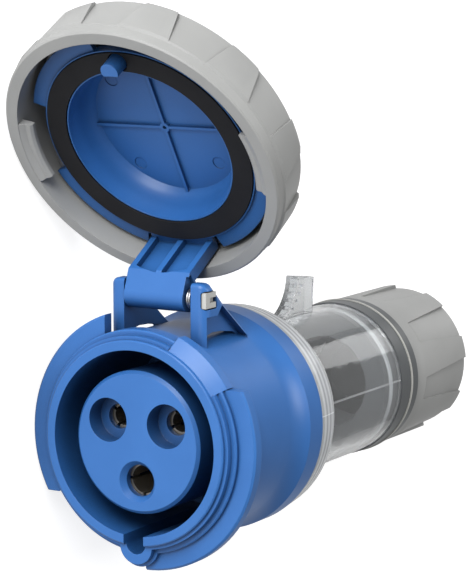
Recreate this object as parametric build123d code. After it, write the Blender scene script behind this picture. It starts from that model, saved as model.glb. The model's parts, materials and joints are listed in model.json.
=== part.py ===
# Trailing cee socket, 16 A, two poles and earth, with a hinged lid and a turning bayonet ring.
# Each piece is modelled about the plug's axis: +Z leaves the mouth, +Y points at the hinge.
# The finished set is then laid down on the three points on which it rests.
from build123d import *
import os
from math import cos, radians, sin

# Fits between pieces
gap = 0.3
pin_fit = 0.05
slip = 0.1

# Shroud of the front housing
mouth_r = 22.9
rim_r = 25.35
rim_step = 1.1
rim_edge = 0.3
lip_r = 26.25
lip_depth = 2.7
collar_r = 27.6
body_r = 26.5
collar_blend = 0.8
shroud_depth = 37.0
partition_thick = 4.0

# Rear flange and spigot of the front housing
flange_r = 28.6
flange_front = 37.0
flange_rise = 7.0
flange_back = 43.3
spigot_r = 24.9
spigot_wall = 2.0
spigot_length = 9.0
seal_depth = 1.2
seal_width = 2.2
seal_place = 3.0

# Bayonet lobes, and the ledge between the right lobe and the hinge
lobe_r = 32.1
lobe_front = 3.9
lobe_thick = 3.0
lobe_chamfer = 0.5
left_lobe = (104.0, 212.0)
left_lobe_x = -10.5
left_lobe_y = -15.3
right_lobe = (-88.0, 32.0)
right_lobe_y = 14.9
ledge_r = 28.6
ledge_front = 4.0
ledge_span = (32.0, 68.0)

# Keyway and the bump that covers it
key_half = 2.85
key_y = -24.75
bump_half = 5.5
bump_y = -25.5
bump_lip = 0.9

# Hinge
hinge_y = 34.4
hinge_z = -14.0
pin_r = 1.5
ear_inner = 9.6
ear_outer = 13.9
ear_front = 11.2
ear_top = 38.5
ear_root_y = 21.5
ear_rear = [(37.4, -15.9), (32.25, -21.75), (23.7, -32.9), (20.6, -32.9)]
ear_round = 2.4
ear_web = 2.0
ear_pocket = [(30.3, -16.8), (32.3, -18.6), (32.5, -19.4), (23.4, -31.2)]
ear_foot = 1.6
ear_arch = [(24.0, -12.5), (25.2, -14.5), (25.8, -17.9), (25.6, -22.0), (24.7, -27.7), (23.2, -30.6)]
ear_post = 1.2
window_half_y = 2.25
window_round = 0.7
window_half_z = 2.6
window_depth = 1.6
knuckle_r = 3.4
knuckle_x = (-9.3, 7.6)
open_angle = 148.0

# Contact insert, its contacts and what holds them
insert_r = 17.67
insert_front = 1.8
insert_edge = 0.8
pitch_r = 9.66
pole_angles = {"line_contact": 30.0, "neutral_contact": 150.0}
earth_angle = 270.0
recess_r = 5.45
recess_depth = 5.2
entry_r = 3.1
entry_wall = 1.7
earth_flare_r = 5.1
earth_flare = 1.5
earth_entry_r = 3.95
pole_bore_r = 2.55
earth_bore_r = 3.52
sleeve_wall = 1.05
ring_thick = 0.5
chamber_gap = 0.35
contact_bore_length = 24.0
jaw_slot = 0.8
jaw_length = 14.0
insert_flange_r = 21.6
insert_flange_thick = 3.0
contact_collar = 1.4
retainer_thick = 3.0
terminal_length = 11.0
wire_hole_r = 1.9
wire_hole_depth = 9.0
clamp_screw_r = 1.25
clamp_screw_places = (3.0, 7.6)
retainer_r = 21.2
retainer_screw_r = 1.45
retainer_head_r = 2.8
retainer_head = 1.9
insert_screw_r = 1.2
insert_screw_at = 19.9
insert_screw_head_r = 1.7
insert_screw_head = 1.5

# Clear rear housing with its hanging tab
bell_r = 28.2
bell_rear_r = 27.6
bell_straight = 2.4
bell_length = 7.4
shoulder_r = 25.0
shoulder_length = 5.0
barrel_r = 20.9
barrel_start = 62.0
barrel_end = 101.4
clear_wall = 2.0
tab_half = 1.7
tab_front = 69.0
tab_top = 31.6
tab_top_front = 77.4
tab_rear = 86.8
tab_wall = 1.0
tab_curve_r = 12.0
tab_curve_at = (32.7, -65.9)
tab_rungs = ((23.0, -74.2), (24.9, -76.3), (26.6, -78.0), (28.6, -79.3))

# Gland
gland_r = 21.2
collar_back = 111.2
ring_front = 107.0
ring_width = 0.7
ring_groove = 0.8
plug_r = 18.6
plug_length = 7.5
thread_r = 17.0
thread_length = 12.8
gland_bore_r = 12.6
cage_seat_r = 15.2
cage_wall = 1.8
cage_length = 21.0
cage_fingers = 10
finger_slot = 1.4
finger_base = 4.2
cable_r = 8.0
nut_end = 143.0
nut_r = 21.0
nut_neck_r = 20.3
nut_grip_depth = 1.1
nut_grip_shallow = 0.3
nut_grips = 8
nut_grip_turn = -9.0
nut_grip_rear = 29.0
nut_grip_front = 17.0
nut_grip_start = 117.0
nut_mouth_r = 11.2
nut_edge = 1.0
slip_ring_thick = 2.2
slip_ring_r = 15.4

# Lid, in its closed place: heights count outward from the rim of the mouth
gasket_inner_r = 22.5
gasket_outer_r = 27.7
gasket_thick = 1.7
gasket_lift = 0.05
cup_r = 22.0
cup_floor_r = 20.8
cup_floor = 9.4
dome_r = 23.8
dome_top = 13.0
dome_edge = 0.8
dome_floor = 2.0
dome_rim = 2.8
web_thick = 1.1
plate_r = 32.0
plate_low = 1.1
cup_lip = 0.4
channel_wall = 0.35
plate_thick = 1.2
plate_lobes = ((-159.0, -103.0), (-77.0, -21.0), (21.0, 70.0), (110.0, 163.0))
rib_width = 0.8
rib_height = 0.8
hub_r = 1.3
hub_hole_r = 0.5
mark_r = 1.7
mark_depth = 0.2
mark_places = ((-11.3, -13.0), (-11.4, 12.0), (11.6, 10.6))
post_y = -25.0
post_r = 2.3
post_depth = 4.0
post_flat = 1.2
arm_x = (-9.3, 8.4)
arm_inner = 28.3
arm_outer = 31.5
arm_rib = 1.6
arm_floor = 1.6
arm_scoop_r = 16.0
arm_scoop_z = -12.0
nose_reach = 1.4
nose_span = 20.0
nose_thick = 0.8

# Bayonet ring, in the lid's closed place
ring_rim = -4.6
ring_bore_r = 33.4
ring_wall = 3.3
ring_land = 0.6
ring_band = 2.9
ring_back = 1.3
ring_edge = 2.4
ring_grips = 10
ring_grip_depth = 1.4
ring_grip_shallow = 0.2
ring_grip_back = 24.0
ring_grip_front = 15.0
lug_r = 30.1
lug_thick = 1.6
lug_root_r = 32.5
lug_half = 15.0
lug_chamfer = 0.6
washer_inner_r = 28.6
washer_thick = 0.7
wave_r = 30.4
wave_width = 2.4
wave_thick = 0.4
wave_count = 4
wave_split = 6.0

# Torsion spring on the hinge pin
coil_r = 2.3
wire_r = 0.3
coil_pitch = 0.62
coil_turns = 2

# Places that follow from the sizes above
lobe_back = lobe_front + lobe_thick
partition_back = shroud_depth + partition_thick
spigot_end = flange_back + spigot_length
spigot_bore_r = spigot_r - spigot_wall
seal_front = flange_back + seal_place
insert_back = partition_back + gap + insert_flange_thick
collar_z = insert_back + slip
retainer_front = collar_z + contact_collar + slip
retainer_back = retainer_front + retainer_thick
terminal_end = retainer_back + terminal_length
bell_front = flange_back + gap
bell_back = bell_front + bell_length
shoulder_back = bell_back + shoulder_length
collar_front = barrel_end + gap
thread_end = collar_back + thread_length
cage_front = collar_back + 1.6
cage_back = cage_front + cage_length
slip_ring_front = cage_back + gap
slip_ring_back = slip_ring_front + slip_ring_thick
nut_front = collar_back + gap
gasket_top = gasket_lift + gasket_thick
web_top = gasket_top + web_thick
ring_slide = lobe_thick + lug_thick + 2 * gap
ring_wall_in = web_top + 1.5 * gap + ring_slide
lug_front = gap - lobe_front
ring_band_r = ring_bore_r + ring_wall
ring_land_r = ring_band_r + ring_land
arm_turn_z = hinge_z + knuckle_r
ring_top = ring_wall_in + ring_back
hinge_line = Axis((0, hinge_y, hinge_z), (1, 0, 0))


# Solid of revolution from points of radius and height, over part of a turn if asked
def turned(points, start=0.0, sweep=360.0):
    face = Plane.XZ * make_face(Polyline(*points, close=True))
    return Rot(0, 0, start) * revolve(face, Axis.Z, sweep)


# Round bar or bore along the plug's axis between two heights
def rod(radius, low, high, x=0.0, y=0.0):
    return Pos(x, y, (low + high) / 2) * Cylinder(radius, high - low)


# Tube between two radii and two heights
def tube(inner, outer, low, high):
    return rod(outer, low, high) - rod(inner, low - 1, high + 1)


# Box from its lowest to its highest corner
def block(low, high):
    size = [top - bottom for bottom, top in zip(low, high)]
    middle = [(top + bottom) / 2 for bottom, top in zip(low, high)]
    return Pos(*middle) * Box(*size)


# Plate whose outline is drawn in heights and depths, between two places across the object
def side_plate(points, x_low, x_high):
    face = Plane.YZ * make_face(Polyline(*points, close=True))
    return Pos(x_low, 0, 0) * extrude(face, x_high - x_low, dir=(1, 0, 0))


# Round bar along the hinge's direction
def cross_rod(radius, x_low, x_high, y=hinge_y, z=hinge_z):
    return Pos((x_low + x_high) / 2, y, z) * Rot(0, 90, 0) * Cylinder(radius, x_high - x_low)


# Slot with a round end that opens toward the axis
def round_end(half, centre_y, low, high):
    straight = block((-half, centre_y, low), (half, centre_y + half, high))
    return straight + rod(half, low, high, 0, centre_y)


# Sloping finger grips: recesses that widen and deepen from one height to another
def grip_cutters(count, turn, radius, depths, heights, angles):
    halves = [radius * sin(radians(angle / 2)) for angle in angles]
    corners = [(-halves[0], heights[0]), (halves[0], heights[0]), (halves[1], heights[1]), (-halves[1], heights[1])]
    face = Plane.XZ * make_face(Polyline(*corners, close=True))
    flat = extrude(face, radius + 5, dir=(0, -1, 0))
    floor = [(0, heights[0]), (radius - depths[0], heights[0]), (radius - depths[1], heights[1]), (0, heights[1])]
    cutter = flat - turned(floor)
    return [Rot(0, 0, turn + 90 + k * 360 / count) * cutter for k in range(count)]


# Place of a contact on the pitch circle
def contact_place(angle):
    return pitch_r * cos(radians(angle)), pitch_r * sin(radians(angle))


def bayonet_lobe(span):
    points = [
        (body_r - 1, -lobe_front),
        (lobe_r - lobe_chamfer, -lobe_front),
        (lobe_r, -lobe_front - lobe_chamfer),
        (lobe_r, -lobe_back),
        (body_r - 1, -lobe_back),
    ]
    return turned(points, span[0], span[1] - span[0])


# Cheek that holds the pin, with an open arch over the body and a slim rib that leans back on it
def hinge_ear(side):
    foot = (ear_rear[3][0], ear_rear[3][1] + ear_foot)
    front = [(ear_root_y, -ear_front), (ear_top, -ear_front), (ear_top, ear_rear[0][1] + 1.2)]
    ear = side_plate(front + ear_rear + [foot, (ear_root_y, foot[1])], ear_inner, ear_outer)
    long_edges = ear.edges().filter_by(Axis.X).group_by(Axis.Y)[-1]
    ear = fillet(long_edges, 1.0)
    corner = ear.edges().filter_by(Axis.Z).sort_by(lambda e: e.center().X + e.center().Y)[-1]
    ear = fillet(corner, ear_round)
    post_back = -ear_front - ear_post
    floor_y = ear_arch[0][0] - 4
    pocket = [(floor_y, post_back), (ear_pocket[0][0], post_back)] + ear_pocket + [(floor_y, ear_pocket[-1][1])]
    ear -= side_plate(pocket, ear_inner + ear_web, ear_outer + 1)
    below = [(ear_arch[-1][0] - 6, ear_arch[-1][1]), (ear_arch[0][0] - 6, ear_arch[0][1])]
    ear -= side_plate(ear_arch + below, ear_inner - 1, ear_outer + 1)
    return ear if side > 0 else mirror(ear, about=Plane.YZ)


def front_housing():
    flare_top = (body_r, -flange_front + flange_rise)
    flange_lip = (flange_r, -flange_front)
    before = [
        (mouth_r - 1, 0),
        (rim_r - rim_edge, 0),
        (rim_r, -rim_edge),
        (rim_r, -rim_step),
        (lip_r, -rim_step),
        (lip_r, -lip_depth),
        (collar_r - rim_edge, -lip_depth),
        (collar_r, -lip_depth - rim_edge),
        (collar_r, -lobe_back),
        (body_r, -lobe_back - collar_blend),
        flare_top,
    ]
    after = [
        flange_lip,
        (flange_r, -flange_back),
        (spigot_r, -flange_back),
        (spigot_r, -seal_front),
        (spigot_r - seal_depth, -seal_front),
        (spigot_r - seal_depth, -seal_front - seal_width),
        (spigot_r, -seal_front - seal_width),
        (spigot_r, -spigot_end),
        (spigot_bore_r, -spigot_end),
        (spigot_bore_r, -partition_back),
        (insert_r + gap, -partition_back),
        (insert_r + gap, -shroud_depth),
        (mouth_r - 1, -shroud_depth),
        (mouth_r - 1, 0),
    ]
    flare = TangentArc(flare_top, flange_lip, tangent=(0, -1))
    outline = Polyline(*before) + flare + Polyline(*after)
    housing = revolve(Plane.XZ * make_face(outline), Axis.Z)
    sector = turned([(rim_r, 1), (40, 1), (40, -lobe_back), (rim_r, -lobe_back)], ledge_span[0],
                    ledge_span[1] - ledge_span[0])
    housing -= sector
    left = bayonet_lobe(left_lobe) - block((left_lobe_x, 0, -20), (60, 60, 0))
    left -= block((-60, -60, -20), (0, left_lobe_y, 0))
    right = bayonet_lobe(right_lobe) - block((0, right_lobe_y, -20), (60, 60, 0))
    ledge = [
        (rim_r - 1, -rim_step),
        (rim_r, -rim_step),
        (ledge_r, -ledge_front),
        (ledge_r, -lobe_back),
        (rim_r - 1, -lobe_back),
    ]
    housing += [left, right, turned(ledge, ledge_span[0], ledge_span[1] - ledge_span[0])]
    housing += round_end(bump_half, bump_y, -flange_front - 1, -lip_depth)
    housing += round_end(bump_half - bump_lip, bump_y, -lip_depth - 1, -rim_step)
    housing += [hinge_ear(1), hinge_ear(-1)]
    housing -= rod(mouth_r, -shroud_depth, 1)
    housing -= round_end(key_half, key_y, -shroud_depth, 1)
    housing -= cross_rod(pin_r + pin_fit, -ear_outer + 1, ear_outer + 1)
    low = (ear_outer - window_depth, hinge_y - window_half_y, hinge_z - window_half_z)
    high = (ear_outer + 1, hinge_y + window_half_y, hinge_z + window_half_z)
    window = block(low, high)
    housing -= fillet(window.edges().filter_by(Axis.X), window_round)
    for x in (-insert_screw_at, insert_screw_at):
        housing -= rod(insert_screw_r + pin_fit, -partition_back - 1, -shroud_depth - 1, x)
    return housing


def contact_insert():
    profile = [
        (0, -insert_front),
        (insert_r - insert_edge, -insert_front),
        (insert_r, -insert_front - insert_edge),
        (insert_r, -partition_back - gap),
        (insert_flange_r, -partition_back - gap),
        (insert_flange_r, -insert_back),
        (0, -insert_back),
    ]
    insert = turned(profile)
    recess_floor = -insert_front - recess_depth
    sleeve_front = recess_floor - entry_wall
    pole_chamber = pole_bore_r + sleeve_wall + ring_thick + chamber_gap
    for angle in pole_angles.values():
        x, y = contact_place(angle)
        insert -= rod(recess_r, recess_floor, 1, x, y)
        insert -= rod(entry_r, sleeve_front - 1, 1, x, y)
        insert -= rod(pole_chamber, -insert_back - 1, sleeve_front, x, y)
    x, y = contact_place(earth_angle)
    earth_front = -insert_front - earth_flare - entry_wall
    earth_chamber = earth_bore_r + sleeve_wall + ring_thick + chamber_gap
    flare = Cone(earth_entry_r, earth_flare_r, earth_flare)
    insert -= Pos(x, y, -insert_front - earth_flare / 2) * flare
    insert -= rod(earth_entry_r, earth_front - 1, 1, x, y)
    insert -= rod(earth_chamber, -insert_back - 1, earth_front, x, y)
    insert -= rod(retainer_screw_r + pin_fit, -insert_back - 1, -insert_back + 8)
    for x in (-insert_screw_at, insert_screw_at):
        insert -= rod(insert_screw_r + pin_fit, -insert_back - 1, -partition_back + 1, x)
    return insert


# Sleeve contact at the centre: jaws in front, stop collar, terminal block with two screw holes
def contact(bore_r, front):
    outer = bore_r + sleeve_wall
    body = rod(outer, -terminal_end, -front)
    body += rod(outer + sleeve_wall, -collar_z - contact_collar, -collar_z)
    body -= rod(bore_r, -front - contact_bore_length, 1)
    jaw_back = -front - jaw_length
    body -= block((-jaw_slot / 2, -outer - 1, jaw_back), (jaw_slot / 2, outer + 1, 1))
    body -= block((-outer - 1, -jaw_slot / 2, jaw_back), (outer + 1, jaw_slot / 2, 1))
    body -= rod(wire_hole_r, -terminal_end - 1, -terminal_end + wire_hole_depth)
    for place in clamp_screw_places:
        body -= clamp_screw_bar(clamp_screw_r + pin_fit, 0, outer + 1, place)
    return body


# Contact in its place, with its screws facing away from the plug's axis
def turned_contact(bore_r, front, angle):
    return Pos(*contact_place(angle), 0) * Rot(0, 0, angle) * contact(bore_r, front)


# Bar that points away from the plug's axis, at a terminal
def clamp_screw_bar(radius, inner, outer, place):
    middle = (inner + outer) / 2
    return Pos(middle, 0, -retainer_back - place) * Rot(0, 90, 0) * Cylinder(radius, outer - inner)


def clamp_screws(bore_r, angle):
    outer = bore_r + sleeve_wall
    screws = []
    for place in clamp_screw_places:
        screw = clamp_screw_bar(clamp_screw_r, wire_hole_r * 0.6, outer + 0.8, place)
        notch = (outer + 0.3, -1.3, -retainer_back - place - 0.2)
        screw -= block(notch, (outer + 1, 1.3, -retainer_back - place + 0.2))
        screws.append(Pos(*contact_place(angle), 0) * Rot(0, 0, angle) * screw)
    return screws


# Split steel ring that presses the jaws of a sleeve together
def jaw_ring(bore_r, front, angle):
    inner = bore_r + sleeve_wall + pin_fit
    ring = tube(inner, inner + ring_thick, -front - 5.0, -front - 2.5)
    ring -= block((0, -0.5, -front - 6), (inner + 2, 0.5, -front))
    return Pos(*contact_place(angle), 0) * Rot(0, 0, angle + 45) * ring


def contact_retainer():
    plate = rod(retainer_r, -retainer_back, -retainer_front)
    plate += tube(retainer_r - 1.6, retainer_r, -retainer_back - 2.5, -retainer_back)
    plate += rod(retainer_head_r + 1.5, -retainer_back - retainer_head, -retainer_back)
    for angle in list(pole_angles.values()) + [earth_angle]:
        x, y = contact_place(angle)
        bore_r = earth_bore_r if angle == earth_angle else pole_bore_r
        plate -= rod(bore_r + sleeve_wall + slip, -retainer_back - 9, -retainer_front + 1, x, y)
    plate -= rod(retainer_screw_r + slip, -retainer_back - 9, -retainer_front + 1)
    plate -= rod(retainer_head_r + slip, -retainer_back - 9, -retainer_back)
    for x in (-insert_screw_at, insert_screw_at):
        plate -= rod(insert_screw_head_r + slip, -retainer_back - 9, -retainer_front + 1, x)
    return plate


# Headed screw whose head's seat is at the given height, with a cross slot
def screw(radius, head_r, head, seat, tip, x=0.0):
    body = rod(radius, seat, tip, x) + rod(head_r, seat - head, seat, x)
    for half_x, half_y in ((head_r - 0.5, 0.3), (0.3, head_r - 0.5)):
        low = (x - half_x, -half_y, seat - head - 1)
        body -= block(low, (x + half_x, half_y, seat - head / 2))
    return body


def rear_housing():
    profile = [
        (spigot_r + gap, -bell_front),
        (bell_r, -bell_front),
        (bell_r, -bell_front - bell_straight),
        (bell_rear_r, -bell_back),
        (shoulder_r, -shoulder_back),
        (barrel_r, -barrel_start),
        (barrel_r, -barrel_end),
        (barrel_r - clear_wall, -barrel_end),
        (barrel_r - clear_wall, -barrel_start),
        (shoulder_r - clear_wall, -shoulder_back),
        (shoulder_r - clear_wall, -spigot_end - gap),
        (spigot_r + gap, -spigot_end - gap),
    ]
    housing = turned(profile)
    outline = [
        (barrel_r - 1, -tab_front),
        (tab_top, -tab_front),
        (tab_top, -tab_top_front),
        (tab_top - 1.2, -tab_rear),
        (barrel_r - 1, -tab_rear + 0.8),
    ]
    tab = side_plate(outline, -tab_half, tab_half)
    tab -= cross_rod(tab_curve_r, -tab_half - 1, tab_half + 1, *tab_curve_at)
    channel = side_plate(outline[1:4] + [(barrel_r, -tab_rear + tab_wall), (barrel_r, -tab_front)], -tab_half + tab_wall,
                         tab_half + 1)
    channel -= side_plate([(0, -tab_rear + tab_wall), (60, -tab_rear + tab_wall), (60, -tab_rear - 9), (0, -tab_rear - 9)],
                          -tab_half, tab_half + 2)
    channel -= cross_rod(tab_curve_r + tab_wall, -tab_half, tab_half + 2, *tab_curve_at)
    tab -= channel & block((-tab_half, 0, -tab_rear), (tab_half + 1, tab_top - tab_wall, -tab_front))
    for y, z in tab_rungs:
        tab += block((-tab_half, y - 0.4, z - 2.2), (tab_half - 0.3, y + 0.4, z + 0.6))
    return housing + tab


def gland_collar():
    profile = [
        (gland_bore_r, -collar_front + plug_length),
        (plug_r, -collar_front + plug_length),
        (plug_r, -collar_front + 5.2),
        (plug_r - seal_depth, -collar_front + 5.2),
        (plug_r - seal_depth, -collar_front + 3.0),
        (plug_r, -collar_front + 3.0),
        (plug_r, -collar_front),
        (gland_r, -collar_front),
        (gland_r, -ring_front),
        (gland_r - ring_groove, -ring_front),
        (gland_r - ring_groove, -ring_front - ring_width),
        (gland_r, -ring_front - ring_width),
        (gland_r, -collar_back),
        (thread_r, -collar_back),
        (thread_r, -thread_end),
        (cage_seat_r, -thread_end),
        (cage_seat_r, -cage_front + slip),
        (gland_bore_r, -cage_front + slip),
    ]
    return turned(profile)


def collar_ring():
    inner = gland_r - ring_groove + pin_fit
    low = -ring_front - ring_width + pin_fit
    return tube(inner, gland_r + 0.3, low, -ring_front - pin_fit)


# Rubber ring in a groove, a little flattened by the wall it seals against
def seal_ring(groove_r, bore_r, front, width):
    inner = groove_r + pin_fit
    outer = bore_r - pin_fit
    ring = tube(inner, outer, -front - width + slip, -front - slip)
    return fillet(ring.edges(), (outer - inner) * 0.3)


def clamp_cage():
    outer = cage_seat_r - slip
    cage = tube(outer - cage_wall, outer, -cage_back, -cage_front)
    cage -= tube(outer - 0.3, outer + 1, -cage_back - 1, -thread_end)
    for k in range(cage_fingers):
        slot = block((0, -finger_slot / 2, -cage_back - 1), (30, finger_slot / 2, -cage_front - finger_base))
        cage -= Rot(0, 0, (k + 0.5) * 360 / cage_fingers) * slot
    return cage


def gland_seal():
    outer = cage_seat_r - slip - cage_wall - slip
    seal = tube(cable_r, outer, -cage_back + 1, -cage_front)
    return seal - Pos(0, 0, -cage_back + 1 + 0.75) * Cone(cable_r + 1.5, cable_r, 1.5)


def slip_ring():
    return tube(gland_bore_r, slip_ring_r, -slip_ring_back, -slip_ring_front)


def gland_nut():
    profile = [
        (thread_r + gap, -nut_front),
        (nut_neck_r, -nut_front),
        (nut_neck_r + 0.3, -nut_grip_start + 2),
        (nut_r, -nut_grip_start),
        (nut_r, -nut_end + nut_edge),
        (nut_r - nut_edge, -nut_end),
        (nut_mouth_r + nut_edge, -nut_end),
        (nut_mouth_r, -nut_end + nut_edge),
        (nut_mouth_r, -slip_ring_back - gap),
        (slip_ring_r + gap, -slip_ring_back - gap),
        (slip_ring_r + gap, -thread_end - 1),
        (thread_r + gap, -thread_end - 1),
    ]
    nut = turned(profile)
    depths = (nut_grip_depth, nut_grip_shallow)
    heights = (-nut_end - 1, -nut_grip_start)
    nut -= grip_cutters(nut_grips, nut_grip_turn, nut_r, depths, heights, (nut_grip_rear, nut_grip_front))
    return nut


def lid():
    profile = [
        (cup_r, cup_lip),
        (cup_r, cup_lip + 1),
        (cup_floor_r, cup_floor - 2.4),
        (cup_floor_r - 1.6, cup_floor),
        (0, cup_floor),
        (0, cup_floor + dome_floor),
        (dome_r - dome_rim, cup_floor + dome_floor),
        (dome_r - dome_rim + dome_edge, dome_top),
        (dome_r - dome_edge, dome_top),
        (dome_r, dome_top - dome_edge),
        (dome_r, web_top),
        (gasket_outer_r + gap / 2 + channel_wall, web_top),
        (gasket_outer_r + gap / 2 + channel_wall, cup_lip),
        (gasket_outer_r + gap / 2, cup_lip),
        (gasket_outer_r + gap / 2, gasket_top + slip),
        (gasket_inner_r - gap / 2, gasket_top + slip),
        (gasket_inner_r - gap / 2, cup_lip),
    ]
    cover = turned(profile)
    lobe_top = plate_low + plate_thick
    lobe = [
        (gasket_outer_r + gap, plate_low),
        (plate_r, plate_low),
        (plate_r, lobe_top),
        (gasket_outer_r + gap, lobe_top),
    ]
    cover += [turned(lobe, start, stop - start) for start, stop in plate_lobes]
    cover += lid_ribs()
    for x, y in mark_places:
        cover -= rod(mark_r, cup_floor - 1, cup_floor + mark_depth, x, y)
    post = rod(post_r, -post_depth, gasket_top + slip + 0.5, 0, post_y)
    post -= block((-5, post_y + post_flat, -10), (5, post_y + 5, gasket_top))
    cover += post
    cover += lid_arm()
    for k in range(4):
        nose = [
            (dome_r - 0.5, ring_top + gap),
            (dome_r + nose_reach, ring_top + gap),
            (dome_r, ring_top + gap + nose_thick),
            (dome_r - 0.5, ring_top + gap + nose_thick),
        ]
        cover += turned(nose, 45 + 90 * k - nose_span / 2, nose_span)
    return cover


# Crossed ribs with a small ring at the centre of the cup's floor
def lid_ribs():
    reach = cup_floor_r - 1.0
    low = cup_floor - rib_height
    ribs = block((-reach, -rib_width / 2, low), (reach, rib_width / 2, cup_floor + 0.5))
    ribs += block((-rib_width / 2, -reach, low), (rib_width / 2, reach, cup_floor + 0.5))
    ribs += rod(hub_r, low, cup_floor + 0.5)
    return ribs - rod(hub_hole_r, low - 1, cup_floor)


def lid_arm():
    outline = [
        (arm_inner, plate_low + plate_thick),
        (arm_inner, arm_scoop_z + 0.4),
        (hinge_y - knuckle_r + 0.4, hinge_z - 1.6),
        (hinge_y, hinge_z),
        (hinge_y, hinge_z + knuckle_r),
        (arm_outer, arm_turn_z),
        (arm_outer, plate_low + plate_thick),
    ]
    arm = side_plate(outline, *arm_x)
    root = block((arm_x[0], dome_r, plate_low), (arm_x[1], arm_outer, plate_low + plate_thick))
    arm += root - rod(gasket_outer_r + gap / 2, -1, gasket_top + slip)
    arm -= block((knuckle_x[1], hinge_y - knuckle_r - 2, hinge_z - 6), (20, 60, hinge_z + 2.6))
    channel = block((arm_x[0] + arm_rib, arm_inner - 1, arm_scoop_z - 1),
                    (arm_x[1] - arm_rib, arm_inner + arm_floor, plate_low))
    middle = (arm_x[0] + arm_x[1]) / 2
    scoop = Pos(middle, arm_inner, arm_scoop_z + arm_scoop_r) * Rot(90, 0, 0) * Cylinder(arm_scoop_r, 9)
    channel = channel & scoop
    channel -= block((middle - arm_rib / 2, 0, -30), (middle + arm_rib / 2, 60, 30))
    arm -= channel
    arm += cross_rod(knuckle_r, *knuckle_x)
    arm -= cross_rod(pin_r + pin_fit, -20, 20)
    return arm


def lid_gasket():
    ring = tube(gasket_inner_r, gasket_outer_r, gasket_lift, gasket_top)
    return ring - rod(post_r + gap, -5, 5, 0, post_y)


def bayonet_ring():
    profile = [
        (ring_bore_r, ring_rim),
        (ring_band_r - 0.4, ring_rim),
        (ring_band_r, ring_rim + 0.4),
        (ring_band_r, ring_rim + ring_band),
        (ring_land_r, ring_rim + ring_band + ring_land),
        (ring_land_r, ring_top - ring_edge),
        (ring_land_r - 0.7, ring_top - 0.7),
        (ring_land_r - ring_edge, ring_top),
        (dome_r + gap, ring_top),
        (dome_r + gap, ring_wall_in),
        (ring_bore_r, ring_wall_in),
    ]
    ring = turned(profile)
    depths = (ring_grip_shallow, ring_grip_depth)
    heights = (ring_rim + ring_band - 0.2, ring_top + 0.5)
    ring -= grip_cutters(ring_grips, -90.0, ring_land_r, depths, heights, (ring_grip_front, ring_grip_back))
    lug = [
        (lug_r, lug_front + lug_chamfer),
        (lug_r + lug_chamfer, lug_front),
        (lobe_r - lobe_chamfer + gap, lug_front),
        (lug_root_r, lug_front - lobe_chamfer),
        (ring_bore_r, ring_rim + 0.1),
        (ring_bore_r + 0.5, ring_rim + 0.1),
        (ring_bore_r + 0.5, lug_front + lug_thick),
        (lug_r, lug_front + lug_thick),
    ]
    ring += [turned(lug, centre - lug_half, 2 * lug_half) for centre in (0, 180)]
    return ring


def thrust_washer():
    top = ring_wall_in - pin_fit
    return tube(washer_inner_r, ring_bore_r - gap, top - washer_thick, top)


# Split steel ring that rises and falls in waves between the lid's plate and the washer
def wave_spring():
    low = plate_low + plate_thick + 2 * slip + wave_thick / 2
    high = ring_wall_in - pin_fit - washer_thick - 2 * slip - wave_thick / 2
    middle = (low + high) / 2
    swing = (high - low) / 2
    steps = wave_count * 8
    turn = radians(360 - wave_split)
    angles = [turn * k / steps for k in range(steps + 1)]
    crest = [(wave_r * cos(a), wave_r * sin(a), middle + swing * sin(wave_count * a)) for a in angles]
    path = Spline(*crest)
    section = Plane(path @ 0, x_dir=(1, 0, 0), z_dir=path % 0) * Rectangle(wave_width, wave_thick)
    return sweep(section, path, binormal=Line((0, 0, 0), (0, 0, 1)))


def hinge_pin():
    pin = cross_rod(pin_r, -ear_outer + 1 + slip, ear_outer - window_depth + slip)
    half_y = window_half_y - gap
    half_z = window_half_z - gap
    low = (ear_outer - window_depth + pin_fit, hinge_y - half_y, hinge_z - half_z)
    head = block(low, (ear_outer - 0.2, hinge_y + half_y, hinge_z + half_z))
    head -= block((low[0] + 0.5, hinge_y - 0.6, hinge_z - half_z - 1), (ear_outer, hinge_y + 0.6, hinge_z + 0.4))
    return pin + head


def hinge_spring():
    height = coil_pitch * coil_turns
    path = Helix(coil_pitch, height, coil_r)
    wire = sweep(Plane(path @ 0, z_dir=path % 0) * Circle(wire_r), path, is_frenet=True)
    middle = (knuckle_x[1] + ear_inner) / 2
    coil = Pos(middle - height / 2, hinge_y, hinge_z) * Rot(0, 90, 0) * wire
    return coil


# Support of a circle: its furthest point in a direction
def furthest(centre, axis, radius, direction):
    across = direction - axis * direction.dot(axis)
    return centre + across.normalized() * radius


# Plane on which the open socket rests: it touches the ring, the left lobe and the nut
def resting_plane():
    turn = radians(open_angle)
    lid_axis = Vector(0, sin(turn), cos(turn))

    def ring_centre(height):
        arm_y = -hinge_y
        arm_z = height - hinge_z
        return Vector(0, hinge_y + cos(turn) * arm_y + sin(turn) * arm_z,
                      hinge_z - sin(turn) * arm_y + cos(turn) * arm_z)

    axis = Vector(0, 0, 1)
    groups = [
        [(ring_centre(ring_rim + ring_band + ring_land), lid_axis, ring_land_r),
         (ring_centre(ring_top - ring_edge), lid_axis, ring_land_r)],
        [(Vector(0, 0, -lobe_front - lobe_chamfer), axis, lobe_r), (Vector(0, 0, -lobe_back), axis, lobe_r)],
        [(Vector(0, 0, -nut_end + nut_edge), axis, nut_r)],
    ]
    down = Vector(-1, 0, 0)
    for _ in range(8):
        feet = []
        for circles in groups:
            ends = [furthest(*circle, down) for circle in circles]
            feet.append(max(ends, key=lambda point: point.dot(down)))
        normal = (feet[1] - feet[0]).cross(feet[2] - feet[0]).normalized()
        down = normal if normal.X < 0 else normal * -1
    up = down * -1
    rearward = Vector(0, 0, -1)
    rearward = (rearward - up * rearward.dot(up)).normalized()
    return Plane(origin=(0, 0, 0), x_dir=rearward.cross(up), z_dir=up), feet


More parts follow.
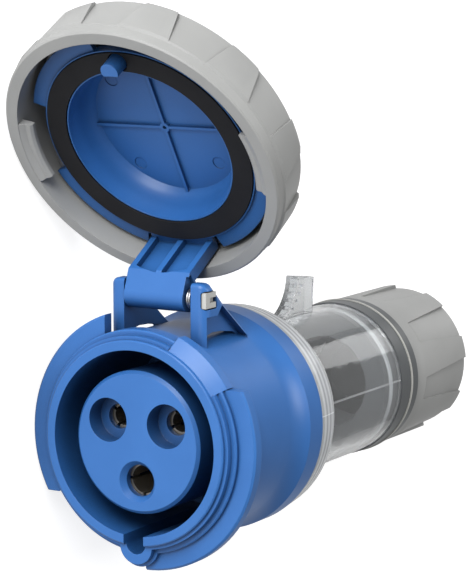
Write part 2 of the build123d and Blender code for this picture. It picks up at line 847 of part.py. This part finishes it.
pole_front = insert_front + recess_depth + entry_wall + gap
earth_front = insert_front + earth_flare + entry_wall + gap
screw_tip = -insert_back + 6

fixed = {
    "front_housing": front_housing(),
    "contact_insert": contact_insert(),
    "contact_retainer": contact_retainer(),
    "earth_contact": turned_contact(earth_bore_r, earth_front, earth_angle),
    "contact_springs": [jaw_ring(earth_bore_r, earth_front, earth_angle)],
    "terminal_screws": clamp_screws(earth_bore_r, earth_angle),
    "retainer_screw": screw(retainer_screw_r, retainer_head_r, retainer_head - slip, -retainer_back, screw_tip),
    "insert_screws": [
        screw(insert_screw_r, insert_screw_head_r, insert_screw_head, -insert_back, -shroud_depth - 1.5, x)
        for x in (-insert_screw_at, insert_screw_at)
    ],
    "housing_seal": seal_ring(spigot_r - seal_depth, spigot_r + gap, seal_front, seal_width),
    "rear_housing": rear_housing(),
    "gland_collar": gland_collar(),
    "collar_ring": collar_ring(),
    "collar_seal": seal_ring(plug_r - seal_depth, barrel_r - clear_wall, collar_front - 5.2, 2.2),
    "clamp_cage": clamp_cage(),
    "gland_seal": gland_seal(),
    "slip_ring": slip_ring(),
    "gland_nut": gland_nut(),
    "hinge_pin": hinge_pin(),
    "hinge_spring": hinge_spring(),
}
for name, angle in pole_angles.items():
    fixed[name] = turned_contact(pole_bore_r, pole_front, angle)
    fixed["contact_springs"].append(jaw_ring(pole_bore_r, pole_front, angle))
    fixed["terminal_screws"] += clamp_screws(pole_bore_r, angle)

on_lid = {
    "lid": lid(),
    "lid_gasket": lid_gasket(),
    "bayonet_ring": bayonet_ring(),
    "thrust_washer": thrust_washer(),
    "wave_spring": wave_spring(),
}

floor_plane, feet = resting_plane()
lay_down = floor_plane.location.inverse()
os.makedirs("parts", exist_ok=True)
for name, shape in fixed.items():
    solids = shape if isinstance(shape, list) else [shape]
    placed = [lay_down * solid for solid in solids]
    export_step(placed[0] if len(placed) == 1 else Compound(placed), f"parts/{name}.step")
for name, shape in on_lid.items():
    opened = shape.rotate(hinge_line, -open_angle)
    export_step(lay_down * opened, f"parts/{name}.step")

# Where the joints, mounts and rest points lie in the finished frame
places = {
    "hinge": (0, hinge_y, hinge_z),
    "mouth": (0, 0, 0),
    "line": (*contact_place(pole_angles["line_contact"]), -pole_front),
    "neutral": (*contact_place(pole_angles["neutral_contact"]), -pole_front),
    "earth": (*contact_place(earth_angle), -earth_front),
    "cable": (0, 0, -cage_back + 1),
}
for name, place in places.items():
    print("place", name, *[round(v, 4) for v in (lay_down * Vertex(*place)).center()])
for foot in feet:
    print("foot", *[round(v, 4) for v in (lay_down * Vertex(*foot)).center()])
for name, direction in (("x", (1, 0, 0)), ("y", (0, 1, 0)), ("z", (0, 0, 1))):
    print("direction", name, *[round(v, 6) for v in (lay_down * Vertex(*direction)).center()])
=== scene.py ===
# Trailing cee socket lying on its side with the lid open
import json

import bpy
import numpy as np
from mathutils import Matrix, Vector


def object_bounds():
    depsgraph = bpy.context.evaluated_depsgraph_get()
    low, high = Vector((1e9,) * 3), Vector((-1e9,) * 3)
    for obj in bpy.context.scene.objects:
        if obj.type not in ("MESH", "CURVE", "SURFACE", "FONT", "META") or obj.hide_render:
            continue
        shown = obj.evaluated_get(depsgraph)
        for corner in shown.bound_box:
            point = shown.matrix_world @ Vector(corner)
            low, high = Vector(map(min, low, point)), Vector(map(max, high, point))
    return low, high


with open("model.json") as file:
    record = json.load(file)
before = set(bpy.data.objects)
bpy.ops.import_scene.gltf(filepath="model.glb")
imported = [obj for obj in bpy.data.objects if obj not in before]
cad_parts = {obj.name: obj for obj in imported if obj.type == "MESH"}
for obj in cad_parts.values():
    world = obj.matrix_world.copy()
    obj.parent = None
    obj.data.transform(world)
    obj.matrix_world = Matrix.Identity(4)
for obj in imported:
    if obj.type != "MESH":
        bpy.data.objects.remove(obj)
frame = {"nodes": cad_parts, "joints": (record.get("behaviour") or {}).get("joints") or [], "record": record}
cadBox = [list(corner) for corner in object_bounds()]
record = frame["record"]
nodes = frame["nodes"]
mm = 0.001
print("frame loaded:", len(nodes), "nodes")


# Mouth centre, and unit vectors along the hinge, towards the hinge and out of the mouth
def plugAxes():
    mouth = next(mount for mount in record["mounts"] if mount["name"] == "mouth")
    hinge = next(joint for joint in frame["joints"] if joint["name"] == "lid_hinge")
    outward = np.array(mouth["axis"])
    across = np.array(hinge["axis"])
    return np.array(mouth["pos_m"]), np.stack([across, np.cross(outward, across), outward])


mouthCentre, plugFrame = plugAxes()


# Points in millimetres on the plug's axes become points of the frame:
# the mouth's centre plus each length along its own axis
def place(points):
    return mouthCentre + np.asarray(points, float) @ plugFrame * mm


# A direction on the plug's axes becomes a unit vector of the frame
def direction(vector):
    turned = np.asarray(vector, float) @ plugFrame
    return turned / np.linalg.norm(turned)


# Matrix of a camera or lamp at a place that faces along forward:
# right is up crossed with back, and up is then squared to both
def lookMatrix(where, forward, up):
    back = -np.asarray(forward)
    right = np.cross(up, back)
    right = right / np.linalg.norm(right)
    up = np.cross(back, right)
    matrix = np.eye(4)
    matrix[:3, :4] = np.column_stack([right, up, back, where])
    return Matrix(matrix.tolist())


# Socket of a node tree; arithmetic on it adds Math nodes
class Sock:
    def __init__(self, finish, link):
        self.finish = finish
        self.link = link

    def math(self, operation, *others):
        return self.finish.add("ShaderNodeMath", {"operation": operation}, self, *others)

    def __add__(self, other):
        return self.math("ADD", other)

    def __mul__(self, other):
        return self.math("MULTIPLY", other)

    __radd__ = __add__
    __rmul__ = __mul__


# Material with a principled shader; add makes any node, first its settings and then its inputs
class Finish:
    def __init__(self, name, **values):
        self.material = bpy.data.materials.new(name)
        self.material.use_nodes = True
        self.tree = self.material.node_tree
        self.shader = self.tree.nodes["Principled BSDF"]
        for key, value in values.items():
            self.set(key.replace("_", " "), value)
        coords = self.tree.nodes.new("ShaderNodeTexCoord")
        self.coords = Sock(self, coords.outputs["Object"])

    def feed(self, slot, value):
        if isinstance(value, Sock):
            self.tree.links.new(slot, value.link)
        elif slot.type == "RGBA" and len(value) == 3:
            slot.default_value = (*value, 1.0)
        else:
            slot.default_value = value

    def set(self, name, value):
        self.feed(self.shader.inputs[name], value)

    def add(self, kind, settings, *ordered, out=0, **named):
        node = self.tree.nodes.new(kind)
        for key, value in settings.items():
            setattr(node, key, value)
        for slot, value in zip(node.inputs, ordered):
            self.feed(slot, value)
        for key, value in named.items():
            self.feed(node.inputs[key.replace("_", " ")], value)
        return Sock(self, node.outputs[out])

    def noise(self, scale, detail):
        return self.add("ShaderNodeTexNoise", {}, Vector=self.coords, Scale=scale, Detail=detail)

    # A Mix node's inputs 0, 6 and 7 and its output 2 are those of its colour form
    def mix(self, factor, low, high):
        node = self.tree.nodes.new("ShaderNodeMix")
        node.data_type = "RGBA"
        for slot, value in zip((node.inputs[0], node.inputs[6], node.inputs[7]), (factor, low, high)):
            self.feed(slot, value)
        return Sock(self, node.outputs[2])

    def ramp(self, value, low, high):
        return self.add("ShaderNodeMapRange", {}, Value=value, From_Min=low, From_Max=high)

    # Grain from a height, over edges that look rounded off where the finish has a radius for them
    def bump(self, height, look):
        named = {"Height": height, "Strength": look["grainStrength"], "Distance": look["grainDepth"]}
        if "edge" in look:
            named["Normal"] = self.add("ShaderNodeBevel", {"samples": look["edgeSamples"]}, look["edge"])
        self.set("Normal", self.add("ShaderNodeBump", {}, **named))


# Moulded plastic or rubber: its colour drifts with a slow noise, and it carries painted shade: its base
# colour is darkened where ambient occlusion finds the moulding hollow. A fine noise varies its roughness and
# is its spark-eroded grain
def mouldedPlastic(name, look):
    finish = Finish(name, Metallic=0.0, IOR=look["ior"])
    drift = finish.ramp(finish.noise(look["driftScale"], look["driftDetail"]), *look["driftLevels"])
    surface = finish.mix(drift, look["colour"], look["colourDrift"])
    # Painted shade: ambient occlusion mixes the base colour towards a darker copy of it in hollows and
    # creases
    sampling = {"samples": look["paintedShadeSamples"]}
    occlusion = finish.add("ShaderNodeAmbientOcclusion", sampling, Distance=look["paintedShadeReach"], out="AO")
    unshadedShare = finish.ramp(occlusion, *look["paintedShadeLevels"])
    paintedShadeColour = [tone * look["paintedShadeTone"] for tone in look["colourDrift"]]
    finish.set("Base Color", finish.mix(unshadedShare, paintedShadeColour, surface))
    fine = finish.noise(look["grainScale"], look["grainDetail"])
    finish.set("Roughness", fine * look["roughSwing"] + (look["roughness"] - look["roughSwing"] / 2))
    finish.bump(fine, look)
    return finish.material


# What all moulded finishes share
mouldedBasics = {
    "driftDetail": 3.0, "driftLevels": (0.35, 0.65), "grainDetail": 2.0, "grainDepth": 0.00003,
    "paintedShadeSamples": 6, "edgeSamples": 4,
}
# In each look below, the ambient occlusion's reach, levels and tone set the painted shade in hollows
bluePlasticLook = {
    **mouldedBasics,
    "colour": (0.036, 0.158, 0.465), "colourDrift": (0.031, 0.144, 0.432), "driftScale": 60.0,
    "roughness": 0.38, "roughSwing": 0.10, "grainScale": 5200.0, "grainStrength": 0.10,
    "edge": 0.00025, "ior": 1.5,
    "paintedShadeReach": 0.020, "paintedShadeLevels": (0.25, 0.85), "paintedShadeTone": 0.30,
}
greyPlasticLook = {
    **mouldedBasics,
    "colour": (0.360, 0.363, 0.358), "colourDrift": (0.335, 0.338, 0.333), "driftScale": 60.0,
    "roughness": 0.42, "roughSwing": 0.10, "grainScale": 5200.0, "grainStrength": 0.12,
    "edge": 0.00025, "ior": 1.5,
    "paintedShadeReach": 0.01, "paintedShadeLevels": (0.2, 0.8), "paintedShadeTone": 0.82,
}
darkGreyLook = {
    **mouldedBasics,
    "colour": (0.115, 0.122, 0.128), "colourDrift": (0.10, 0.107, 0.112), "driftScale": 60.0,
    "roughness": 0.38, "roughSwing": 0.10, "grainScale": 5200.0, "grainStrength": 0.10,
    "edge": 0.0002, "ior": 1.5,
    "paintedShadeReach": 0.006, "paintedShadeLevels": (0.2, 0.8), "paintedShadeTone": 0.6,
}
lightPlasticLook = {
    **mouldedBasics,
    "colour": (0.56, 0.56, 0.53), "colourDrift": (0.52, 0.52, 0.49), "driftScale": 80.0,
    "roughness": 0.40, "roughSwing": 0.10, "grainScale": 5200.0, "grainStrength": 0.10,
    "edge": 0.0002, "ior": 1.5,
    "paintedShadeReach": 0.006, "paintedShadeLevels": (0.2, 0.8), "paintedShadeTone": 0.6,
}
rubberLook = {
    **mouldedBasics,
    "colour": (0.007, 0.007, 0.009), "colourDrift": (0.010, 0.010, 0.012), "driftScale": 120.0,
    "roughness": 0.68, "roughSwing": 0.15, "grainScale": 3800.0, "grainStrength": 0.2,
    "edge": 0.00015, "ior": 1.38,
    "paintedShadeReach": 0.006, "paintedShadeLevels": (0.2, 0.8), "paintedShadeTone": 0.7,
}
siliconeLook = {
    **mouldedBasics,
    "colour": (0.52, 0.54, 0.55), "colourDrift": (0.47, 0.49, 0.50), "driftScale": 120.0,
    "roughness": 0.45, "roughSwing": 0.15, "grainScale": 3800.0, "grainStrength": 0.15,
    "edge": 0.00015, "ior": 1.4,
    "paintedShadeReach": 0.006, "paintedShadeLevels": (0.2, 0.8), "paintedShadeTone": 0.8,
}


# Distance along a way on the plug's axes: the dot product of a point of the piece with it
def lengthAlong(finish, way):
    dot = {"operation": "DOT_PRODUCT"}
    return finish.add("ShaderNodeVectorMath", dot, finish.coords, tuple(direction(way)), out="Value")


# Clear moulded polycarbonate: a refracting shader that lets lamp light straight in, mixed with a milky
# one by a haze. The haze is thick at the front rim, where a sine along the plug's axis rings it, and on
# the mould seam, thinner at the hanging tab, and faint over the rest. The tab is also rougher
def clearPlastic(name, look):
    finish = Finish(name, Metallic=0.0, IOR=look["ior"])
    finish.set("Base Color", look["colour"])
    finish.set("Transmission Weight", look["transmission"])
    depth = lengthAlong(finish, (0, 0, 1))
    height = lengthAlong(finish, (0, 1, 0))
    offSeam = lengthAlong(finish, look["seamNormal"]).math("ABSOLUTE")
    tab = finish.ramp(height, *look["tabHeights"])
    rim = finish.ramp(depth, *look["rimDepths"])
    seam = finish.ramp(offSeam, look["seamWidth"], 0.0)
    finish.set("Roughness", tab * look["tabFrost"] + look["roughness"])
    finish.bump(finish.noise(look["waveScale"], look["waveDetail"]), look)
    lampRay = finish.add("ShaderNodeLightPath", {}, out="Is Shadow Ray")
    through = finish.add("ShaderNodeBsdfTransparent", {}, look["shade"])
    refracting = Sock(finish, finish.shader.outputs["BSDF"])
    glass = finish.add("ShaderNodeMixShader", {}, lampRay, refracting, through)
    milk = finish.add("ShaderNodeBsdfPrincipled", {}, look["milk"], Roughness=look["milkRoughness"])
    rings = (depth * (2 * np.pi / look["ringPitch"])).math("SINE") * look["ringSwing"] + 1.0
    haze = rim * rings * look["rimMilk"] + tab * look["tabMilk"] + seam * look["seamMilk"] + look["bodyMilk"]
    both = finish.add("ShaderNodeMixShader", {}, haze, glass, milk)
    finish.tree.links.new(finish.tree.nodes["Material Output"].inputs["Surface"], both.link)
    return finish.material


# Its grain is the slow waves of a moulded clear wall
clearPlasticLook = {
    "colour": (0.94, 0.955, 0.965), "roughness": 0.03, "transmission": 1.0, "ior": 1.45,
    "waveScale": 160.0, "waveDetail": 1.0, "grainStrength": 0.25, "grainDepth": 0.0002,
    "edge": 0.0002, "edgeSamples": 4, "shade": (0.95, 0.955, 0.96),
    "tabFrost": 0.16, "tabHeights": (0.0285, 0.0300), "rimDepths": (-0.0600, -0.0540),
    "seamNormal": (-0.07, 1.0, 0.0), "seamWidth": 0.0002,
    "milk": (0.78, 0.80, 0.82), "milkRoughness": 0.3, "rimMilk": 0.46, "ringPitch": 0.0021,
    "ringSwing": 0.35, "tabMilk": 0.12, "seamMilk": 0.45, "bodyMilk": 0.05,
}


# Bare metal: its colour drifts with a slow noise, and a fine noise adds to its roughness and is its grain
def bareMetal(name, look):
    finish = Finish(name, Metallic=1.0)
    slow = finish.noise(look["driftScale"], look["driftDetail"])
    finish.set("Base Color", finish.mix(slow, look["colour"], look["colourDrift"]))
    fine = finish.noise(look["grainScale"], look["grainDetail"])
    finish.set("Roughness", fine * look["roughSwing"] + look["roughness"])
    finish.bump(fine, look)
    return finish.material


# What both metals share
metalBasics = {
    "driftScale": 300.0, "driftDetail": 3.0, "roughSwing": 0.2,
    "grainScale": 3000.0, "grainDetail": 2.0, "grainStrength": 0.2, "grainDepth": 0.00002,
}
brassLook = {
    **metalBasics, "colour": (0.50, 0.47, 0.42), "colourDrift": (0.38, 0.35, 0.30), "roughness": 0.30,
}
steelLook = {
    **metalBasics, "colour": (0.56, 0.56, 0.56), "colourDrift": (0.48, 0.48, 0.49), "roughness": 0.22,
}

finishes = {
    "blue_plastic": mouldedPlastic("blueMoulding", bluePlasticLook),
    "grey_plastic": mouldedPlastic("greyMoulding", greyPlasticLook),
    "light_plastic": mouldedPlastic("lightMoulding", lightPlasticLook),
    "clear_plastic": clearPlastic("clearMoulding", clearPlasticLook),
    "black_rubber": mouldedPlastic("blackRubber", rubberLook),
    "pale_silicone": mouldedPlastic("paleSilicone", siliconeLook),
    "brass": bareMetal("turnedBrass", brassLook),
    "steel": bareMetal("springSteel", steelLook),
}
darkGrey = mouldedPlastic("darkGreyMoulding", darkGreyLook)  # collar only, darker than its grey slot
print("finishes made:", len(finishes) + 1)

dressing = {"creaseAngle": 28.0, "weldDistance": 0.000002}


# Each node takes its slot's finish; its loose triangles are welded and shaded smooth up to the crease angle
def dressNodes(dressing):
    for part in record["subparts"]:
        thing = nodes[part["node"]]
        finish = darkGrey if part["node"] == "gland_collar" else finishes[part["material_slot"]]
        thing.data.materials.clear()
        thing.data.materials.append(finish)
        thing.data.polygons.foreach_set("use_smooth", [True] * len(thing.data.polygons))
        weld = thing.modifiers.new("weld", "WELD")
        weld.merge_threshold = dressing["weldDistance"]
        split = thing.modifiers.new("crease", "EDGE_SPLIT")
        split.split_angle = np.radians(dressing["creaseAngle"])


dressNodes(dressing)
print("nodes dressed")

# Place in millimetres and directions on the plug's axes; the focal length is in the photograph's pixels
cameraLook = {
    "place": (322.5, 124.9, 492.4), "forward": (-0.507, -0.146, -0.850), "up": (-0.075, 0.989, -0.126),
    "focalPixels": 2482.8, "photoWidth": 470, "sensor": 36.0, "nearest": 0.01, "furthest": 50.0,
}


# Camera of the photograph: its lens is the focal length's share of the photograph's width, on the sensor
def makeCamera(look):
    data = bpy.data.cameras.new("photoCamera")
    data.sensor_fit = "HORIZONTAL"
    data.sensor_width = look["sensor"]
    data.lens = look["focalPixels"] / look["photoWidth"] * look["sensor"]
    data.clip_start = look["nearest"]
    data.clip_end = look["furthest"]
    camera = bpy.data.objects.new("photoCamera", data)
    bpy.context.scene.collection.objects.link(camera)
    where = place(look["place"])
    camera.matrix_world = lookMatrix(where, direction(look["forward"]), direction(look["up"]))
    bpy.context.scene.camera = camera


makeCamera(cameraLook)

# Half is half the floor's side; the camera sees it glow, and the object gets its bounce
floorLook = {
    "half": 4.0, "tone": (0.55, 0.55, 0.55), "roughness": 0.9,
    "glow": (0.74, 0.74, 0.74), "bounce": (0.22, 0.22, 0.22), "glowStrength": 1.0,
}


# Pale floor at the lowest point of the object, as one large square
def makeFloor(look):
    low = cadBox[0][2]
    half = look["half"]
    mesh = bpy.data.meshes.new("studioFloor")
    corners = [(-half, -half, low), (half, -half, low), (half, half, low), (-half, half, low)]
    mesh.from_pydata(corners, [], [(0, 1, 2, 3)])
    floor = bpy.data.objects.new("studioFloor", mesh)
    bpy.context.scene.collection.objects.link(floor)
    paper = Finish("studioPaper", Roughness=look["roughness"])
    paper.set("Base Color", look["tone"])
    seen = paper.add("ShaderNodeLightPath", {}, out="Is Camera Ray")
    paper.set("Emission Color", paper.mix(seen, look["bounce"], look["glow"]))
    paper.set("Emission Strength", look["glowStrength"])
    mesh.materials.append(paper.material)


# Where the soft boxes aim, in millimetres on the plug's axes, the way up they hang, and the even surround
surroundLook = {
    "aim": (0, 25, -40), "up": (0.1, 1, 0.2), "worldTone": (1.0, 1.0, 1.0, 1.0), "worldStrength": 0.30,
}
# Soft boxes: place in millimetres on the plug's axes, side length in metres, power
softBoxes = {
    "keyLight": {"place": (160, 620, 600), "size": 0.5, "watts": 8.0},
    "sideLight": {"place": (800, 250, -250), "size": 0.35, "watts": 2.4},
    "rearLight": {"place": (270, 378, -934), "size": 0.30, "watts": 0.45},
    "frontLight": {"place": (120, 150, 850), "size": 0.4, "watts": 1.5},
}


# Square area lights that face the object, in an even white surround
def makeLights(boxes, look):
    target = place(look["aim"])
    for name, box in boxes.items():
        data = bpy.data.lights.new(name, "AREA")
        data.size = box["size"]
        data.energy = box["watts"]
        lamp = bpy.data.objects.new(name, data)
        bpy.context.scene.collection.objects.link(lamp)
        where = place(box["place"])
        towards = (target - where) / np.linalg.norm(target - where)
        lamp.matrix_world = lookMatrix(where, towards, direction(look["up"]))
    world = bpy.data.worlds.new("studioWorld")
    world.use_nodes = True
    background = world.node_tree.nodes["Background"]
    background.inputs["Color"].default_value = look["worldTone"]
    background.inputs["Strength"].default_value = look["worldStrength"]
    bpy.context.scene.world = world
    bpy.context.scene.view_settings.view_transform = "Standard"


makeFloor(floorLook)
makeLights(softBoxes, surroundLook)
print("studio ready")

bpy.context.view_layer.update()
